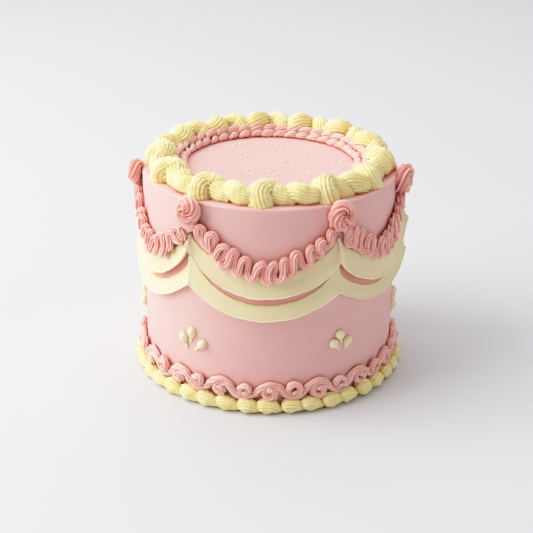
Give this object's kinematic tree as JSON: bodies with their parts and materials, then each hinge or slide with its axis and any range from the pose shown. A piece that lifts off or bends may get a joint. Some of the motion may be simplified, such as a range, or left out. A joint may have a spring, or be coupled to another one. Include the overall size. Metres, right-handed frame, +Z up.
{
  "type": "lambeth cake",
  "caption": "Tall round layer cake with smooth pink icing, piped shell borders, rosettes, zigzag garlands and double ribbon swags, for a celebration table.",
  "frame": {"origin": "centre of the cake's flat underside, where it rests on its plate or board", "axes": "+Z up through the middle of the cake; -Y is the front, the side that faces the camera in the picture; +X is its right as seen from the front"},
  "size_m": [0.1862, 0.1808, 0.148],
  "materials": {
    "smooth_pink_icing": "smooth satin buttercream, palette-knife finished, with white sprinkles on the top",
    "piped_pink_icing": "piped buttercream with fine ridges, soft satin",
    "piped_yellow_icing": "piped buttercream with fine ridges, soft satin",
    "ribbon_yellow_icing": "smooth piped buttercream ribbon, soft satin"
  },
  "bodies": {
    "root": {"cake_body": "smooth_pink_icing", "rim_shell_border": "piped_yellow_icing", "inner_shell_border": "piped_pink_icing", "foot_shell_border": "piped_yellow_icing", "foot_scroll": "piped_pink_icing", "rosette_1": "piped_pink_icing", "garland_1": "piped_pink_icing", "upper_ribbon_1": "ribbon_yellow_icing", "lower_ribbon_1": "ribbon_yellow_icing", "drop_1a": "ribbon_yellow_icing", "drop_1b": "ribbon_yellow_icing", "drop_1c": "ribbon_yellow_icing", "rosette_2": "piped_pink_icing", "garland_2": "piped_pink_icing", "upper_ribbon_2": "ribbon_yellow_icing", "lower_ribbon_2": "ribbon_yellow_icing", "drop_2a": "ribbon_yellow_icing", "drop_2b": "ribbon_yellow_icing", "drop_2c": "ribbon_yellow_icing", "rosette_3": "piped_pink_icing", "garland_3": "piped_pink_icing", "upper_ribbon_3": "ribbon_yellow_icing", "lower_ribbon_3": "ribbon_yellow_icing", "drop_3a": "ribbon_yellow_icing", "drop_3b": "ribbon_yellow_icing", "drop_3c": "ribbon_yellow_icing", "rosette_4": "piped_pink_icing", "garland_4": "piped_pink_icing", "upper_ribbon_4": "ribbon_yellow_icing", "lower_ribbon_4": "ribbon_yellow_icing", "drop_4a": "ribbon_yellow_icing", "drop_4b": "ribbon_yellow_icing", "drop_4c": "ribbon_yellow_icing", "rosette_5": "piped_pink_icing", "garland_5": "piped_pink_icing", "upper_ribbon_5": "ribbon_yellow_icing", "lower_ribbon_5": "ribbon_yellow_icing", "drop_5a": "ribbon_yellow_icing", "drop_5b": "ribbon_yellow_icing", "drop_5c": "ribbon_yellow_icing", "rosette_6": "piped_pink_icing", "garland_6": "piped_pink_icing", "upper_ribbon_6": "ribbon_yellow_icing", "lower_ribbon_6": "ribbon_yellow_icing", "drop_6a": "ribbon_yellow_icing", "drop_6b": "ribbon_yellow_icing", "drop_6c": "ribbon_yellow_icing"}
  },
  "joints": []
}
